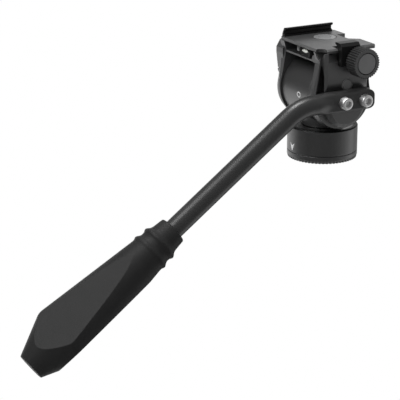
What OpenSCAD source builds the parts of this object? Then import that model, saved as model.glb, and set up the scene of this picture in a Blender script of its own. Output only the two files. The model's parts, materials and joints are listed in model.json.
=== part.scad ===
// Fluid video head with a pan base, a tilting cradle, a plate clamp and a pan bar.
// Millimetres. The origin is the mouth of the base thread, +Z is up, +Y points to the lens
// and +X to the operator's right. The pan bar leaves towards -Y.

/* [Pan base] */
// Outside diameter of the pan base
base_d = 58; // [54:1:64]
// Height of the fixed ring at the bottom
ring_h = 5.8; // [5:0.2:8]
// Chamfer round the bottom edge of the ring
ring_chamfer = 2.3; // [1:0.1:3]
// Wall radius of the 3/8 inch tripod thread
thread_r = 4.0; // [3:0.1:4.2]
// Depth of the tripod thread
thread_l = 11; // [8:0.5:12]
// Diameter of the pan spindle
spindle_d = 12; // [10:0.5:13]
// Angle of the pan lock round the drum, from +X
pan_lock_angle = 147; // [120:1:170]
// Diameter of the pan lock knob
pan_knob_d = 17; // [14:0.5:18]

/* [Tilt drum] */
// Height of the tilt axis above the tripod
axis_h = 56; // [52:0.5:62]
// Outside diameter of the tilt drum
tilt_drum_d = 52; // [49:0.5:53]
// Width of the tilt drum
tilt_drum_w = 44.4; // [40:0.4:46]
// Wall thickness of the tilt drum
tilt_wall = 4.2; // [3.6:0.2:5]
// Diameter of the tilt shaft
shaft_d = 14; // [12:0.5:15]
// Diameter of the tilt lock knob
tilt_knob_d = 26; // [22:0.5:27]

/* [Cradle] */
// Thickness of each cheek
cheek_t = 6.5; // [5.5:0.25:8]
// Diameter of the round end of a cheek
cheek_d = 55.2; // [53.6:0.2:55.8]
// Height of the platform above the tilt axis
platform_rise = 41.5; // [40.5:0.5:44]
// Thickness of the platform
platform_t = 3; // [2.5:0.25:3.5]
// Length of the platform, front to back
platform_l = 51.5; // [50:0.5:56]
// Thickness of the side blocks outside the cheeks
block_t = 6; // [5.5:0.25:7]
// Diameter of the round cap in the platform
cap_d = 18.6; // [16:0.2:21]

/* [Plate clamp] */
// Width between the lips of the fixed rail and the jaw, as stored
channel_w = 53; // [51:0.5:54]
// Height of the fixed rail above the platform
rail_h = 7; // [6:0.25:8]
// Height of the jaw's lip above the platform
jaw_h = 4.6; // [4:0.2:5.2]
// Length of the fixed rail
rail_l = 46; // [40:0.5:48]
// Length of the jaw
jaw_l = 17.4; // [14:0.2:18]
// Diameter of the clamp knob
clamp_knob_d = 22.6; // [18:0.2:24]
// Thickness of the clamp knob
clamp_knob_t = 13; // [10:0.5:15]
// Diameter of the clamp screw
clamp_screw_d = 6; // [5:0.5:6]

/* [Pan bar] */
// Outside diameter of the tube
tube_d = 16; // [14:0.25:16.5]
// Thickness of the flattened end
arm_t = 10; // [9:0.25:11]
// Distance between the two handle bolts
bolt_pitch = 19; // [17:0.5:21]
// Angle of the bar below level
bar_drop = 36.2; // [30:0.2:40]
// Distance from the tilt axis back to the corner of the bend
bar_reach = 47.4; // [46:0.2:54]
// Radius of the bend, on the tube's middle line
bend_r = 40; // [36:1:42]
// Distance from the corner of the bend to the end of the grip
bar_l = 292.6; // [280:1:310]

/* [Grip] */
// Length of the grip with its collar
grip_l = 151.4; // [140:1:160]
// Largest radius of the grip
grip_r = 24.6; // [22:0.2:26]
// Radius of the grip's flat end
grip_end_r = 11.3; // [10:0.1:13]
// Distance of the three flats from the middle, at the big end
grip_flat = 17.2; // [15.6:0.1:18]

/* [Hidden] */
$fn = 64;

// Clearances
seam = 0.5;         // visible line between the ring and the drum
run = 0.05;         // running fit of a shaft in its bore
slip = 0.3;         // gap between pieces that move past each other
slide = 0.25;       // gap of the jaw in its slot
cheek_gap = 0.9;    // height of the cheeks above the drum's rim

// Pan base
base_r = base_d / 2;
cheek_r = cheek_d / 2;
drum_z = ring_h + seam;
drum_top = axis_h - cheek_r - cheek_gap;
drum_h = drum_top - drum_z;
drum_wall = 3;
drum_deck_t = 3.5;                          // thickness of the drum's top
deck_z = drum_top - 1.5;                    // the top lies a little below the rim
deck_under = deck_z - drum_deck_t;
rim_round = 1;
insert_r = thread_r + 3;
hub_r = insert_r + 5;
spindle_r = spindle_d / 2;
flange_r = hub_r;
flange_t = 1.8;
thrust_t = 2.4;                             // bronze washer under the drum's top
thrust_r = spindle_r + 3.4;
flange_top = deck_under - thrust_t - run;
flange_z = flange_top - flange_t;
disc_t = 1.2;                               // thickness of a drag disc
stator_z = flange_z - disc_t;
hub_top = stator_z;
rotor_z = flange_z + slip;
nut_t = 3;
nut_r = spindle_r + 3.6;
washer_t = 1.2;
washer_z = deck_z + run;
nut_z = washer_z + washer_t;
spindle_top = nut_z + nut_t + 0.5;
spindle_screw_r = 1.5;
spindle_screw_at = (insert_r + hub_r) / 2;
spindle_head_r = (hub_r - insert_r) / 2 - 0.1;
spindle_head_h = 2.4;
spindle_seat = 3.8;                         // height of the seats of the three heads

// Pan lock
pan_lock_z = (ring_h + rotor_z) / 2;        // half way between the ring and the drag discs
pan_screw_r = 2.5;
pan_knob_from = base_r + 1;
pan_knob_t = 14;
pan_knob_ridges = 18;
pan_shoe_from = hub_r + slip;
pan_shoe_l = 4;

// Tilt drum
tilt_r = tilt_drum_d / 2;
tilt_in_r = tilt_r - tilt_wall;
half_w = tilt_drum_w / 2;
end_t = 4.2;                                // thickness of the drum's two end walls
shaft_r = shaft_d / 2;
bush_r = shaft_r + 2;
seal_r = bush_r + 1;
neck_pocket_r = nut_r + 0.9;
neck_pocket_top = spindle_top + slip;
neck_screw_at = neck_pocket_r + 3.1;
neck_screw_r = 2;
neck_bite = 5;                              // length of the neck screws in the neck
neck_r = neck_screw_at + 3.4;
cover_screw_at = tilt_r - tilt_wall / 2;
cover_screw_r = 1;
cover_head_r = 1.8;
cover_head_h = 2;
disc_gap = 0.4;
disc_pitch = 2 * (disc_t + disc_gap);
disc_n = 4;

// Cradle
cheek_in = half_w + slip;
cheek_out = cheek_in + cheek_t;
cheek_land = 2.4;                           // untapered strip at the inner side of a cheek
cheek_taper = 1.2;                          // how far a cheek draws in towards its outer side
top_z = axis_h + platform_rise;
under_z = top_z - platform_t;
shelf_z = axis_h + tilt_r + 3.5;
shelf_t = 1.5;
waist_y = cheek_r - 5;
flare_z = shelf_z + shelf_t + 1;            // where a cheek starts to widen to the platform
flank_lean = atan((cheek_r - waist_y) / (shelf_z - axis_h));
taper_angle = atan(cheek_taper / (cheek_t - cheek_land));
flank_fade = 2.2;                           // turn by which the taper fades out up the flank
platform_shift = 0.75;                      // the platform sits a little forward
platform_front = platform_l / 2 + platform_shift;
platform_rear = -platform_l / 2 + platform_shift;
platform_bevel = [2, 1.2];                  // bevel along the right edge, across and down
platform_under = 1;                         // bevel along the lower rear edge
block_out = cheek_out + block_t;
block_y = 20.4;
block_z = axis_h + 6;
block_edge = 2;                             // chamfer of the block's upright edges
block_draft = 1.2;                          // lean of its rear and front faces towards the cheek
block_round = 8;                            // height of the curve at the foot of the block
block_curve_r = 14;
gap_w = 4;                                  // slot between the foot of the block and the cheek
gap_rise = [13, 27];                        // heights above the foot where it narrows and ends
gap_in = 2.7;                               // how far its narrow end lies inside the cheek
gap_full = block_z + gap_rise[0];
gap_top = block_z + gap_rise[1];
gap_depth = 10;
gap_wall = 2.5;                             // wall of the cheek that the slot leaves
gap_lip = [4, 1.6];                         // depth of the lip behind it, at the wall and outside
scoop_r = 14;                               // hollow along the top of the block's outer face
scoop_d = block_t - 1;
hollow_at = [block_out - 3.3, platform_rear + 1.6];
hollow_r = [4, 5.4];                        // radius above the platform and just below it
hollow_wide = under_z - 0.5;
hollow_front = 8.4 - block_y;
gusset_x = cheek_in - 5;                    // rounded corner between the shelf and the right cheek
gusset_h = 5.5;
gusset_l = 8;
gusset_round = 3;
left_block_y = 24.2;
left_foot_z = axis_h + 5.3;
left_step = [11.5, 14];                     // the upright stretch at the groove, above the axis
left_step_z = [axis_h + left_step[0], axis_h + left_step[1]];
left_groove = 13;
left_shoulder = [7, 11];                    // its widest stretch, below the platform
knob_room = 3;                              // room round the tilt lock knob
groove = 0.8;
notch_x = [-10, 6.5, 12.2];
notch_d = 7.8;
cap_r = cap_d / 2;
cap_at = [-7.7, 5.4];
cap_t = 1.2;
cap_gap = 0.5;
hub_cap_r = 4.8;
hub_cap_rise = 11.3;
hub_cap_in = 2.6;
lobe_r = 18.5;
lobe_face_r = 15.3;
lobe_drop = 6;
lobe_bevel = 3;
mount_out = block_out + 1;
mount_screw_r = 1.5;
mount_head_r = 2.7;
mount_head_h = 2.2;
mount_screw_at = 15.8;
mount_bite = 4.5;                           // length of the mount screws in the cheek

// Plate clamp
tail_x = block_out + slip;
tail_t = 4;
tail_out = tail_x + tail_t;
jaw_w = 9.6;
lip_jaw_x = tail_out - jaw_w;               // inner edge of the jaw's lip
lip_rail_x = lip_jaw_x - channel_w;         // inner edge of the rail's lip
lip_d = 2.4;                                // depth of the undercut
rail_back = 4.6;                            // thickness of the rail at its root
rail_foot_w = 5.6;
rail_foot_t = 2;
rail_foot_x = lip_rail_x - rail_back - rail_foot_w;
rail_foot_y = rail_l * 0.3;
rail_screw_r = 1.5;
rail_screw_x = rail_foot_x + 2.2;
rail_screw_y = rail_l * 0.2;
platform_left = min(-cheek_out - 2, rail_foot_x - 1.5);
rail_y = rail_l / 2;
jaw_y = jaw_l / 2;
jaw_close = 4;                              // how far the jaw moves in
slot_y = jaw_y + slide;
slot_x = lip_jaw_x - jaw_close - 0.6;
tongue_z = under_z + slide;
tail_drop = 13.8;
tail_z = top_z - tail_drop;
tail_front = 16;
pocket_x = tail_x - jaw_close - slip;
screw_r = clamp_screw_d / 2;
clamp_y = 6.8;
clamp_drop = 10.4;
clamp_z = top_z - clamp_drop;
knob_x = tail_out + 0.3;
knob_out = knob_x + clamp_knob_t;
clamp_ridges = 36;
screw_from = cheek_out - 1.8;

// Level
level_z = shelf_z + shelf_t;
level_h = under_z - level_z;
level_x = [-3.2, cheek_in - 7.3];
level_face = platform_rear + platform_under;
level_back = -waist_y + 8;
level_edge = 2.2;                           // chamfer at the left end of the holder
vial_r = level_h * 0.24;
vial_x = [4.2, 13.2];
vial_y = level_face + vial_r * 0.55;
vial_z = level_z + level_h * 0.66;

// Pan bar
tube_r = tube_d / 2;
tube_wall = 1.6;
straight_r = tube_r - 0.03;                 // the bend swells the tube by a hair
bar_x = mount_out + arm_t / 2;
arm_in = mount_out;
arm_out = mount_out + arm_t;
arm_h = tube_d + 0.6;
arm_edge = 2.6;
arm_front = bolt_pitch / 2 + 10.4;
arm_corner = 6.3;
arm_back = -18;
bend_tangent = bend_r * tan(bar_drop / 2);
bend_y = -bar_reach + bend_tangent;
bolt_r = 3;
bolt_head_r = 5;
bolt_head_h = 6;
bolt_key = 5;

// Grip, as distances from its collar end
grip_from = bar_l - grip_l;
collar_r = [10.6, 12.2];                    // the collar's radius at its end and at the first ring
collar_l = 28;                              // length of the collar with its two rings
ring_at = [15, 24.6];
ring_r = [2, 2.2];                          // radius of each ring's section
ring_mid = [12.2, 12.9];                    // radius of each ring's middle line
grip_neck_r = 14.1;
grip_round = 12;                            // rounding where the grip is thickest
shoulder_l = 34.6;                          // length of the taper at the end
shoulder_at = grip_l - shoulder_l;          // where the grip is thickest
tube_stop = 20;                             // rubber beyond the end of the tube
tube_end = bar_l - tube_stop;

// Tilt lock
tilt_stud_r = 3;
tilt_stud_l = 13;                           // length of the stud in the shaft
tilt_washer_t = 1;
tilt_knob_t = 14;
tilt_knob_x = -cheek_out - tilt_washer_t;

// Shapes that several parts use

// Extrudes a shape drawn in Y and Z along X
module along_x(x0, x1) {
  translate([x0, 0, 0])
    rotate([90, 0, 90])
      linear_extrude(x1 - x0)
        children();
}

// Extrudes a shape drawn in X and Z along Y
module along_y(y0, y1) {
  translate([0, y1, 0])
    rotate([90, 0, 0])
      linear_extrude(y1 - y0)
        children();
}

// A round bar along X at a given Y and Z
module rod_x(x0, x1, r, y, z) {
  translate([x0, y, z])
    rotate([0, 90, 0])
      cylinder(h = x1 - x0, r = r);
}

// A round bar or a ring along X on the tilt axis
module ring_x(x0, x1, r, hole = 0) {
  difference() {
    rod_x(x0, x1, r, 0, axis_h);
    if (hole > 0)
      rod_x(x0 - 1, x1 + 1, hole, 0, axis_h);
  }
}

// A flat ring about the pan axis
module ring_z(z0, z1, r, hole) {
  translate([0, 0, z0])
    difference() {
      cylinder(h = z1 - z0, r = r);
      translate([0, 0, -1])
        cylinder(h = z1 - z0 + 2, r = hole);
    }
}

// A knob along +Z with ridges all round, its back at z = 0
module ridged_knob(r, t, ridges, depth) {
  difference() {
    cylinder(h = t, r = r);
    for (i = [0 : ridges - 1])
      rotate(i * 360 / ridges)
        translate([r + depth * 0.2, 0, -1])
          cylinder(h = t + 2, r = depth, $fn = 16);
  }
}

// A socket screw along +Z, with its head on top and the seat of the head at z = 0
module socket_screw(r, l, head_r, head_h, key) {
  difference() {
    union() {
      translate([0, 0, -l])
        cylinder(h = l, r = r);
      cylinder(h = head_h, r = head_r);
    }
    translate([0, 0, head_h * 0.45])
      cylinder(h = head_h, r = key / sqrt(3), $fn = 6);
  }
}

// Moves a piece into the frame of the pan bar: +Z runs down the bar, +Y is its upper side
module on_bar() {
  translate([bar_x, -bar_reach, axis_h])
    rotate([90 + bar_drop, 0, 0])
      children();
}

// Moves a piece onto the axis of the pan lock, +Z pointing out of the drum
module on_pan_lock() {
  translate([0, 0, pan_lock_z])
    rotate([0, 0, pan_lock_angle])
      rotate([0, 90, 0])
        children();
}

// Pan base, the pieces that stay with the tripod

module base_ring() {
  color([0.20, 0.20, 0.21])
    difference() {
      union() {
        cylinder(h = ring_chamfer, r1 = base_r - ring_chamfer * 0.8, r2 = base_r);
        translate([0, 0, ring_chamfer])
          cylinder(h = ring_h - ring_chamfer, r = base_r);
        cylinder(h = hub_top, r = hub_r);
      }
      translate([0, 0, -1])
        cylinder(h = thread_l + 1, r = insert_r);
      spindle_screw_places() {
        cylinder(h = hub_top + 1, r = spindle_screw_r);
        translate([0, 0, -1])
          cylinder(h = spindle_seat + 1, r = spindle_head_r);
      }
    }
}

// The three places of the screws that hold the spindle
module spindle_screw_places() {
  for (a = [30, 150, 270])
    rotate(a)
      translate([spindle_screw_at, 0, 0])
        children();
}

module thread_insert() {
  color([0.72, 0.66, 0.45])
    ring_z(0, thread_l, insert_r, thread_r);
}

module pan_spindle() {
  color([0.70, 0.70, 0.72])
    difference() {
      union() {
        translate([0, 0, flange_z])
          cylinder(h = flange_t, r = flange_r);
        translate([0, 0, stator_z])
          cylinder(h = spindle_top - stator_z, r = spindle_r);
      }
      spindle_screw_places()
        translate([0, 0, hub_top - 1])
          cylinder(h = flange_top, r = spindle_screw_r);
    }
}

module spindle_screws() {
  color([0.62, 0.62, 0.64])
    spindle_screw_places()
      translate([0, 0, spindle_seat])
        rotate([180, 0, 0])
          socket_screw(spindle_screw_r, flange_top - spindle_seat, spindle_head_r, spindle_head_h, 2.5);
}

module pan_stator() {
  color([0.60, 0.61, 0.62])
    difference() {
      ring_z(stator_z, stator_z + disc_t, base_r - drum_wall - 4, spindle_r);
      spindle_screw_places()
        translate([0, 0, stator_z - 1])
          cylinder(h = disc_t + 2, r = spindle_screw_r);
    }
}

module spring_washer() {
  color([0.55, 0.56, 0.58])
    ring_z(washer_z, washer_z + washer_t, spindle_r + 3.5, spindle_r);
}

module pan_nut() {
  color([0.70, 0.70, 0.72])
    difference() {
      translate([0, 0, nut_z])
        cylinder(h = nut_t, r = nut_r, $fn = 6);
      translate([0, 0, nut_z - 1])
        cylinder(h = nut_t + 2, r = spindle_r);
    }
}

// Pan drum and tilt drum, the pieces that turn with the pan

module pan_drum() {
  color([0.20, 0.20, 0.21])
    difference() {
      union() {
        translate([0, 0, drum_z])
          cylinder(h = drum_h - rim_round, r = base_r);
        translate([0, 0, drum_top - rim_round])
          cylinder(h = rim_round, r1 = base_r, r2 = base_r - rim_round * 0.7);
      }
      // The inside, the running bore and the sunk top
      translate([0, 0, drum_z - 1])
        cylinder(h = deck_under - drum_z + 1, r = base_r - drum_wall);
      translate([0, 0, deck_under - 1])
        cylinder(h = drum_deck_t + 2, r = spindle_r + run);
      translate([0, 0, deck_z])
        cylinder(h = drum_top, r = base_r - drum_wall);
      // The hole of the pan lock and the four screws of the neck
      on_pan_lock()
        cylinder(h = base_r + 5, r = pan_screw_r + run);
      for (a = [45 : 90 : 315])
        rotate(a)
          translate([neck_screw_at, 0, deck_under - 1])
            cylinder(h = drum_deck_t + 2, r = neck_screw_r);
    }
}

module pan_rotor() {
  color([0.60, 0.61, 0.62])
    ring_z(rotor_z, rotor_z + disc_t, base_r - drum_wall, flange_r + slip);
}

module thrust_washer() {
  color([0.72, 0.55, 0.30])
    ring_z(deck_under - thrust_t, deck_under, thrust_r, spindle_r + run);
}

module tilt_drum() {
  color([0.17, 0.17, 0.18])
    difference() {
      union() {
        ring_x(-half_w, half_w - end_t, tilt_r);
        translate([0, 0, deck_z])
          cylinder(h = axis_h - tilt_r * 0.5 - deck_z, r = neck_r);
      }
      // The space for the drag discs and the seat of the left bush
      ring_x(-half_w + end_t, half_w + 1, tilt_in_r);
      ring_x(-half_w - 1, half_w, bush_r);
      // Room for the pan nut, and the screws from below
      translate([0, 0, deck_z - 1])
        cylinder(h = neck_pocket_top - deck_z + 1, r = neck_pocket_r);
      for (a = [45 : 90 : 315])
        rotate(a)
          translate([neck_screw_at, 0, deck_z - 1])
            cylinder(h = neck_bite + 2, r = neck_screw_r);
      cover_screw_places(cover_screw_r, half_w - end_t - 3.5);
    }
}

module cover_screw_places(r, x0) {
  for (a = [90, 210, 330])
    rod_x(x0, half_w + 1, r, cover_screw_at * cos(a), axis_h + cover_screw_at * sin(a));
}

module drum_cover() {
  color([0.19, 0.19, 0.20])
    difference() {
      ring_x(half_w - end_t, half_w, tilt_r, bush_r);
      cover_screw_places(cover_screw_r, half_w - end_t - 1);
      cover_screw_places(cover_head_r, half_w - cover_head_h);
    }
}

module cover_screws() {
  color([0.62, 0.62, 0.64])
    for (a = [90, 210, 330])
      translate([half_w - cover_head_h, cover_screw_at * cos(a), axis_h + cover_screw_at * sin(a)])
        rotate([0, 90, 0])
          socket_screw(cover_screw_r, end_t + 1, cover_head_r, cover_head_h, 1.5);
}

module neck_screws() {
  color([0.62, 0.62, 0.64])
    for (a = [45 : 90 : 315])
      rotate(a)
        translate([neck_screw_at, 0, deck_under])
          rotate([180, 0, 0])
            socket_screw(neck_screw_r, drum_deck_t + neck_bite, 3.4, 2, 3);
}

module tilt_bushes() {
  color([0.72, 0.55, 0.30])
    for (s = [-1, 1])
      ring_x(s * (half_w - end_t / 2) - end_t / 2, s * (half_w - end_t / 2) + end_t / 2,
             bush_r, shaft_r + run);
}

module tilt_seals() {
  color([0.10, 0.10, 0.10])
    for (s = [-1, 1])
      ring_x(s * (half_w - end_t - 0.9) - 0.9, s * (half_w - end_t - 0.9) + 0.9,
             seal_r, shaft_r + run);
}

// The still discs of the tilt drag, seated on the wall of the drum
module tilt_stators() {
  color([0.60, 0.61, 0.62])
    for (i = [0 : disc_n - 1])
      ring_x((i - disc_n / 2 + 0.5) * disc_pitch, (i - disc_n / 2 + 0.5) * disc_pitch + disc_t,
             tilt_in_r, shaft_r + slip);
}

module pan_lock_knob() {
  color([0.12, 0.12, 0.12])
    on_pan_lock()
      translate([0, 0, pan_knob_from])
        difference() {
          ridged_knob(pan_knob_d / 2, pan_knob_t, pan_knob_ridges, 0.8);
          translate([0, 0, -1])
            cylinder(h = pan_knob_t - 2, r = pan_screw_r);
        }
}

module pan_lock_screw() {
  color([0.70, 0.70, 0.72])
    on_pan_lock()
      translate([0, 0, pan_shoe_from + pan_shoe_l])
        cylinder(h = pan_knob_from + pan_knob_t - 3 - pan_shoe_from - pan_shoe_l, r = pan_screw_r);
}

module pan_brake_shoe() {
  color([0.72, 0.66, 0.45])
    on_pan_lock()
      translate([0, 0, pan_shoe_from])
        cylinder(h = pan_shoe_l, r = pan_screw_r + 0.5);
}

// Cradle, the pieces that tilt

// Side view of a cheek above the tilt axis, narrowing and then widening to the platform
module flank_outline() {
  polygon([
    [-cheek_r, axis_h], [-waist_y, shelf_z], [-waist_y, flare_z],
    [platform_rear + 0.5, under_z], [platform_front - 0.5, under_z],
    [waist_y, flare_z], [waist_y, shelf_z], [cheek_r, axis_h]
  ]);
}

// The right cheek. It draws in towards its outer side, up to the height cut_z
module cheek(cut_z) {
  land_x = cheek_in + cheek_land;
  rod_x(cheek_in, land_x, cheek_r, 0, axis_h);
  translate([land_x, 0, axis_h])
    rotate([0, 90, 0])
      cylinder(h = cheek_out - land_x, r1 = cheek_r, r2 = cheek_r - cheek_taper);
  difference() {
    along_x(cheek_in, cheek_out)
      flank_outline();
    for (s = [0, 1])
      mirror([0, s, 0])
        translate([land_x, -cheek_r, axis_h])
          rotate([-flank_lean, 0, 0])
            rotate([0, 0, taper_angle])
              rotate([flank_fade, 0, 0])
                translate([0, -cheek_r, 0])
                  cube([cheek_r, cheek_r, (cut_z - axis_h) / cos(flank_lean)]);
  }
}

// Plan view of the platform, with its cut corners and the front notch
module platform_outline() {
  polygon([
    [-cheek_out + 3, platform_rear], [hollow_at[0], platform_rear],
    [hollow_at[0], 0.7 * block_edge - block_y], [block_out, 0.7 * block_edge - block_y],
    [block_out, platform_front - 1], [block_out - 1, platform_front],
    [notch_x[2], platform_front], [notch_x[1], platform_front - notch_d],
    [notch_x[0], platform_front - notch_d], [notch_x[0], platform_front],
    [-cheek_out + 3, platform_front], [platform_left, platform_front - 7.5],
    [platform_left, platform_rear + 7.5]
  ]);
}

module platform() {
  difference() {
    translate([0, 0, under_z])
      linear_extrude(platform_t)
        platform_outline();
    along_y(platform_rear - 1, platform_front + 1)
      polygon([
        [block_out - platform_bevel[0], top_z], [block_out - platform_bevel[0], top_z + 1],
        [block_out + 1, top_z + 1], [block_out + 1, top_z - platform_bevel[1]],
        [block_out, top_z - platform_bevel[1]]
      ]);
    along_x(platform_left - 1, block_out + 1)
      polygon([
        [platform_rear - 1, under_z - 1], [platform_rear + platform_under + 1, under_z - 1],
        [platform_rear - 1, under_z + platform_under + 1]
      ]);
  }
}

// Rear view of the right block, with a curved foot
module right_block_outline() {
  translate([cheek_in + cheek_land, block_z + block_round])
    square([block_out - cheek_in - cheek_land, under_z - block_z - block_round]);
  intersection() {
    translate([cheek_in + cheek_land, block_z])
      square([block_out - cheek_in - cheek_land, block_round + 1]);
    translate([block_out - block_curve_r, block_z + block_round])
      circle(r = block_curve_r);
  }
}

// Plan view of the right block, with chamfered upright edges
module right_block_plan() {
  polygon([
    [cheek_in, block_draft - block_y], [block_out - block_edge, -block_y],
    [block_out, block_edge - block_y], [block_out, block_y - block_edge],
    [block_out - block_edge, block_y], [cheek_in, block_y - block_draft]
  ]);
}

module right_block() {
  difference() {
    intersection() {
      along_y(-block_y, block_y)
        right_block_outline();
      translate([0, 0, block_z])
        linear_extrude(under_z - block_z)
          right_block_plan();
    }
    // The hollow along the top
    translate([block_out + scoop_r - scoop_d, -block_y + 1.3 * block_edge, top_z])
      rotate([-90, 0, 0])
        cylinder(h = 2 * block_y, r = scoop_r);
  }
}

// The slot between the block and the cheek, which runs into the cheek behind a narrow lip
module cheek_slot() {
  gap_x = cheek_in + gap_wall;
  intersection() {
    along_y(-cheek_r - 1, gap_depth - block_y)
      polygon([
        [gap_x, block_z - 1], [cheek_out + gap_w, block_z - 1], [cheek_out + gap_w, gap_full],
        [cheek_out - gap_in, gap_top], [gap_x, gap_top]
      ]);
    translate([0, -cheek_r, axis_h])
      rotate([-flank_lean, 0, 0])
        linear_extrude(under_z - axis_h)
          polygon([
            [gap_x, gap_lip[0]], [cheek_out, gap_lip[1]], [cheek_out + gap_w + 1, -gap_w],
            [cheek_out + gap_w + 1, cheek_r], [gap_x, cheek_r]
          ]);
  }
}

// Side view of the left block, which arches over the tilt lock knob
module left_block_outline() {
  difference() {
    polygon([
      [-left_block_y + 6.6, under_z], [-left_block_y + 3.4, under_z - 1.4],
      [-left_block_y, under_z - left_shoulder[0]], [-left_block_y, under_z - left_shoulder[1]],
      [-left_block_y + 1.7, left_step_z[1]], [-left_block_y + 1.7, left_step_z[0]],
      [-left_block_y + 4.3, left_foot_z], [left_block_y - 4.3, left_foot_z],
      [left_block_y - 1.7, left_step_z[0]], [left_block_y - 1.7, left_step_z[1]],
      [left_block_y, under_z - left_shoulder[1]], [left_block_y, under_z - left_shoulder[0]],
      [left_block_y - 3.4, under_z - 1.4], [left_block_y - 6.6, under_z]
    ]);
    translate([0, axis_h])
      circle(r = tilt_knob_d / 2 + knob_room);
    for (s = [-1, 1])
      translate([s * (left_block_y - 1.7) - groove, axis_h + left_groove])
        square([2 * groove, groove]);
  }
}

// The hollow in the rear right corner of the platform, and the pocket that runs in below it
module corner_hollow() {
  translate([hollow_at[0], hollow_at[1], hollow_wide])
    cylinder(h = top_z + 1 - hollow_wide, r1 = hollow_r[1], r2 = hollow_r[0]);
  along_y(platform_rear - 1, hollow_front)
    polygon([[cheek_in + 2, under_z], [cheek_out - 1.5, under_z - 6], [cheek_out + 3.4, under_z]]);
}

// Rear view of the rounded corner between the shelf and the right cheek
module gusset_outline() {
  translate([gusset_x + gusset_round, shelf_z])
    square([cheek_in + 1 - gusset_x - gusset_round, gusset_h]);
  translate([gusset_x, shelf_z])
    square([gusset_round + 1, gusset_h - gusset_round]);
  translate([gusset_x + gusset_round, shelf_z + gusset_h - gusset_round])
    circle(r = gusset_round);
}

module tilt_cradle() {
  color([0.27, 0.27, 0.28])
    difference() {
      union() {
        cheek(under_z);
        right_block();
        mirror([1, 0, 0])
          cheek(shelf_z);
        platform();
        // The shelf over the drum, and the web between it and the platform
        translate([-cheek_in - 1, -waist_y, shelf_z])
          cube([2 * cheek_in + 2, 2 * waist_y, shelf_t]);
        translate([-cheek_in - 1, -waist_y / 2, shelf_z])
          cube([2 * cheek_in + 2, waist_y, under_z - shelf_z]);
        along_y(-waist_y, gusset_l - waist_y)
          gusset_outline();
        along_x(platform_left, -cheek_in - cheek_land)
          left_block_outline();
      }
      corner_hollow();
      for (s = [0, 1])
        mirror([0, s, 0])
          cheek_slot();
      ring_x(-cheek_out - 1, cheek_out + 1, shaft_r);
      // The slot and the pocket in which the jaw slides
      translate([slot_x, -slot_y, under_z])
        cube([block_out, 2 * slot_y, platform_t + 1]);
      translate([pocket_x, -slot_y, tail_z - slide])
        cube([block_t, tail_front + slide + slot_y, under_z - tail_z + slide]);
      // The thread of the clamp screw, the seats of the caps and the holes of the screws
      rod_x(cheek_in - 1, block_out, screw_r + run, clamp_y, clamp_z);
      translate([cap_at[0], cap_at[1], top_z - cap_t])
        cylinder(h = cap_t + 1, r = cap_r + cap_gap);
      rod_x(block_out - hub_cap_in, block_out + 1, hub_cap_r, 0, axis_h + hub_cap_rise);
      for (s = [-1, 1])
        translate([rail_screw_x, s * rail_screw_y, under_z])
          cylinder(h = platform_t + 1, r = rail_screw_r);
      mount_screw_places(cheek_out - mount_bite, cheek_out + 1, mount_screw_r);
    }
}

module tilt_shaft() {
  color([0.70, 0.70, 0.72])
    difference() {
      ring_x(-cheek_out, cheek_out, shaft_r);
      ring_x(-cheek_out - 1, -cheek_out + tilt_stud_l + 1, tilt_stud_r);
    }
}

// The turning discs of the tilt drag, seated on the shaft
module tilt_rotors() {
  color([0.66, 0.67, 0.68])
    for (i = [0 : disc_n - 1])
      ring_x((i - disc_n / 2 + 0.5) * disc_pitch + disc_t + disc_gap,
             (i - disc_n / 2 + 0.5) * disc_pitch + 2 * disc_t + disc_gap,
             tilt_in_r - slip, shaft_r);
}

module platform_cap() {
  color([0.62, 0.62, 0.62])
    translate([cap_at[0], cap_at[1], top_z - cap_t])
      difference() {
        cylinder(h = cap_t, r = cap_r);
        for (s = [-1, 1])
          translate([s * 2.6, s * 4.2, cap_t - 0.6])
            cylinder(h = 2, r = 0.7);
      }
}

module hub_cap() {
  color([0.33, 0.33, 0.34])
    rod_x(block_out - hub_cap_in, block_out + 0.5, hub_cap_r, 0, axis_h + hub_cap_rise);
}

// End view of the fixed rail, with the undercut that holds a plate
module rail_outline() {
  polygon([
    [lip_rail_x - rail_back, top_z], [lip_rail_x - 0.7, top_z], [lip_rail_x - 0.7, top_z + 1.1],
    [lip_rail_x - lip_d, top_z + 2], [lip_rail_x - lip_d, top_z + rail_h - 2.8],
    [lip_rail_x, top_z + rail_h - 1.4], [lip_rail_x, top_z + rail_h],
    [lip_rail_x - 2, top_z + rail_h], [lip_rail_x - rail_back, top_z + rail_foot_t]
  ]);
}

module fixed_rail() {
  color([0.14, 0.14, 0.15])
    difference() {
      union() {
        along_y(-rail_y, rail_y)
          rail_outline();
        // The foot outside the rail, which takes the screws
        translate([rail_foot_x, -rail_foot_y, top_z])
          cube([rail_foot_w + 1, 2 * rail_foot_y, rail_foot_t]);
      }
      for (s = [-1, 1])
        translate([rail_screw_x, s * rail_screw_y, top_z - 1])
          cylinder(h = rail_foot_t + 2, r = rail_screw_r);
    }
}

module rail_screws() {
  color([0.62, 0.62, 0.64])
    for (s = [-1, 1])
      translate([rail_screw_x, s * rail_screw_y, top_z + rail_foot_t])
        socket_screw(rail_screw_r, platform_t + rail_foot_t, 2, 1.6, 1.5);
}

// A block under the platform's rear edge, with the vial set into its rear face
module level_holder() {
  color([0.12, 0.12, 0.12])
    difference() {
      translate([0, 0, level_z])
        linear_extrude(level_h - slip)
          polygon([
            [level_x[0], level_back], [level_x[0], level_face + level_edge],
            [level_x[0] + level_edge, level_face], [level_x[1], level_face], [level_x[1], level_back]
          ]);
      rod_x(vial_x[0], vial_x[1], vial_r, vial_y, vial_z);
    }
}

module level_vial() {
  color([0.80, 0.88, 0.45])
    rod_x(vial_x[0], vial_x[1], vial_r, vial_y, vial_z);
}

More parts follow.
